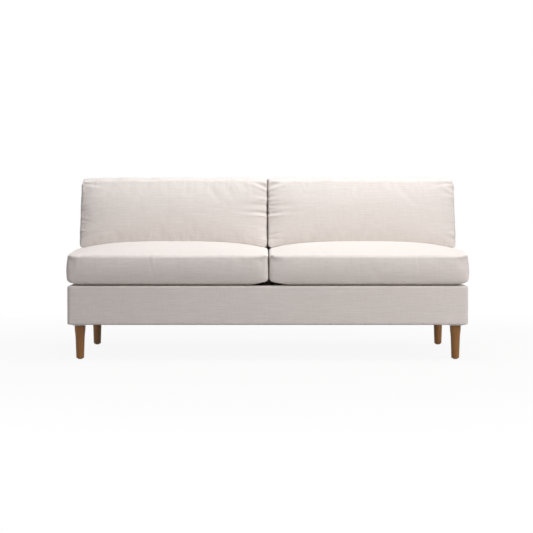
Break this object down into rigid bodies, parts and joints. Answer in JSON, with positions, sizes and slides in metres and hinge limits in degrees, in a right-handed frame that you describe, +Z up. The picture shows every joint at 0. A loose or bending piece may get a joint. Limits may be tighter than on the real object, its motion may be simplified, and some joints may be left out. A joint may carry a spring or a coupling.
{
  "type": "armless sofa",
  "caption": "Armless upholstered sofa: low box base on tapered turned legs, loose boxed seat cushions and loose back cushions against a raked padded back.",
  "frame": {"origin": "on the floor, under the middle of the bounding box", "axes": "+X to the right as seen from the front, -Y out of the front, +Z up"},
  "size_m": [1.816, 0.991, 0.826],
  "materials": {
    "frame_hardwood": "sawn and planed, unfinished",
    "leg_wood": "turned, stained brown, satin lacquer",
    "glide_nylon": "moulded, matt",
    "zinc_plated_steel": "bright zinc plate",
    "spring_steel": "drawn wire, oiled",
    "paper_wrapped_wire": "spun kraft paper on wire",
    "elastic_webbing": "woven polypropylene and rubber",
    "polyester_wadding": "bonded fibre",
    "cushion_foam": "cut foam",
    "upholstery_fabric": "plain weave with fine slubs, matt",
    "deck_cloth": "plain twill, matt",
    "black_underlining": "spunbond cloth, matt",
    "zip_nylon": "woven tape and coil",
    "zip_slider_nickel": "nickel plated"
  },
  "bodies": {
    "frame": {"front_seat_rail": "frame_hardwood", "rear_seat_rail": "frame_hardwood", "left_seat_rail": "frame_hardwood", "right_seat_rail": "frame_hardwood", "centre_seat_rail": "frame_hardwood", "corner_blocks": "frame_hardwood", "left_back_post": "frame_hardwood", "right_back_post": "frame_hardwood", "centre_back_post": "frame_hardwood", "top_back_rail": "frame_hardwood", "lower_back_rails": "frame_hardwood", "front_left_leg": "leg_wood", "front_right_leg": "leg_wood", "rear_left_leg": "leg_wood", "rear_right_leg": "leg_wood", "leg_glides": "glide_nylon", "leg_plates": "zinc_plated_steel", "leg_plate_screws": "zinc_plated_steel", "leg_hanger_bolts": "zinc_plated_steel", "frame_screws": "zinc_plated_steel", "seat_springs": "spring_steel", "spring_clips": "spring_steel", "dust_cover_staples": "spring_steel", "spring_tie_wires": "paper_wrapped_wire", "back_webbing_rows": "elastic_webbing", "back_webbing_columns": "elastic_webbing", "front_base_padding": "polyester_wadding", "left_base_padding": "polyester_wadding", "right_base_padding": "polyester_wadding", "inside_back_pad": "polyester_wadding", "back_side_pads": "polyester_wadding", "outside_back_pad": "polyester_wadding", "seat_deck_pad": "polyester_wadding", "front_base_cover": "upholstery_fabric", "left_base_cover": "upholstery_fabric", "right_base_cover": "upholstery_fabric", "inside_back_cover": "upholstery_fabric", "back_side_covers": "upholstery_fabric", "outside_back_cover": "upholstery_fabric", "seat_deck_cloth": "deck_cloth", "dust_cover": "black_underlining"},
    "left_seat_cushion": {"left_seat_cushion_wrap": "polyester_wadding", "left_seat_cushion_foam": "cushion_foam", "left_seat_cushion_cover": "upholstery_fabric", "left_seat_cushion_zip": "zip_nylon"},
    "left_seat_cushion_zip_slider": {"left_seat_cushion_zip_slider": "zip_slider_nickel"},
    "left_back_cushion": {"left_back_cushion_fibre_insert": "polyester_wadding", "left_back_cushion_cover": "upholstery_fabric", "left_back_cushion_zip": "zip_nylon"},
    "left_back_cushion_zip_slider": {"left_back_cushion_zip_slider": "zip_slider_nickel"},
    "right_seat_cushion": {"right_seat_cushion_wrap": "polyester_wadding", "right_seat_cushion_foam": "cushion_foam", "right_seat_cushion_cover": "upholstery_fabric", "right_seat_cushion_zip": "zip_nylon"},
    "right_seat_cushion_zip_slider": {"right_seat_cushion_zip_slider": "zip_slider_nickel"},
    "right_back_cushion": {"right_back_cushion_fibre_insert": "polyester_wadding", "right_back_cushion_cover": "upholstery_fabric", "right_back_cushion_zip": "zip_nylon"},
    "right_back_cushion_zip_slider": {"right_back_cushion_zip_slider": "zip_slider_nickel"}
  },
  "joints": [
    {"name": "left_seat_cushion_lift", "type": "slide", "parent": "frame", "child": "left_seat_cushion", "axis": [0, 0, 1], "range_m": [0, 0.55]},
    {"name": "left_seat_cushion_zip_slider_travel", "type": "slide", "parent": "left_seat_cushion", "child": "left_seat_cushion_zip_slider", "axis": [-1, 0, 0], "range_m": [0, 0.675]},
    {"name": "left_back_cushion_lift", "type": "slide", "parent": "left_seat_cushion", "child": "left_back_cushion", "axis": [0, 0, 1], "range_m": [0, 0.4]},
    {"name": "left_back_cushion_zip_slider_travel", "type": "slide", "parent": "left_back_cushion", "child": "left_back_cushion_zip_slider", "axis": [-1, 0, 0], "range_m": [0, 0.675]},
    {"name": "right_seat_cushion_lift", "type": "slide", "parent": "frame", "child": "right_seat_cushion", "axis": [0, 0, 1], "range_m": [0, 0.55]},
    {"name": "right_seat_cushion_zip_slider_travel", "type": "slide", "parent": "right_seat_cushion", "child": "right_seat_cushion_zip_slider", "axis": [1, 0, 0], "range_m": [0, 0.675]},
    {"name": "right_back_cushion_lift", "type": "slide", "parent": "right_seat_cushion", "child": "right_back_cushion", "axis": [0, 0, 1], "range_m": [0, 0.4]},
    {"name": "right_back_cushion_zip_slider_travel", "type": "slide", "parent": "right_back_cushion", "child": "right_back_cushion_zip_slider", "axis": [1, 0, 0], "range_m": [0, 0.675]}
  ]
}
